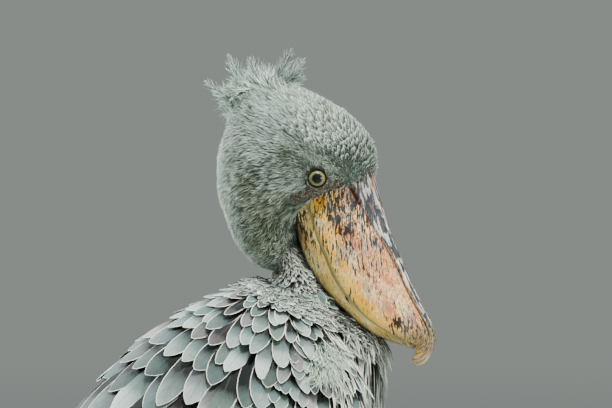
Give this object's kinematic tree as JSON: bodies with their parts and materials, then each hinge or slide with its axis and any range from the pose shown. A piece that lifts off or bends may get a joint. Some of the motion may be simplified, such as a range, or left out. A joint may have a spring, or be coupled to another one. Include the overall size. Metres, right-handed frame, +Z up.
{
  "type": "shoebill",
  "caption": "Life-size still model of a tall grey wading bird, standing on both feet with its neck drawn in and its huge hooked bill resting on its breast.",
  "frame": {"origin": "on the floor under the middle of the whole bird's box", "axes": "+X ahead of the bird's breast, +Y to its left, +Z up"},
  "size_m": [0.6812, 0.3016, 1.124],
  "materials": {
    "plumage": "slate-grey feathers, each with a thin pale rim, matt",
    "horn": "pinkish-yellow horn with dark blotches, satin",
    "eye": "pale yellow-green iris under a wet clear front",
    "leg": "blackish scaly skin, matt",
    "claw": "dark horn, satin"
  },
  "bodies": {
    "root": {"bill_lower": "horn", "bill_upper": "horn", "claw_left_hind": "claw", "claw_left_inner": "claw", "claw_left_middle": "claw", "claw_left_outer": "claw", "claw_right_hind": "claw", "claw_right_inner": "claw", "claw_right_middle": "claw", "claw_right_outer": "claw", "eye_left": "eye", "eye_right": "eye", "foot_left": "leg", "foot_right": "leg", "head": "plumage", "leg_left": "leg", "leg_right": "leg", "neck": "plumage", "tail": "plumage", "thigh_left": "plumage", "thigh_right": "plumage", "toe_left_hind": "leg", "toe_left_inner": "leg", "toe_left_middle": "leg", "toe_left_outer": "leg", "toe_right_hind": "leg", "toe_right_inner": "leg", "toe_right_middle": "leg", "toe_right_outer": "leg", "torso": "plumage", "wing_left": "plumage", "wing_right": "plumage"}
  },
  "joints": []
}
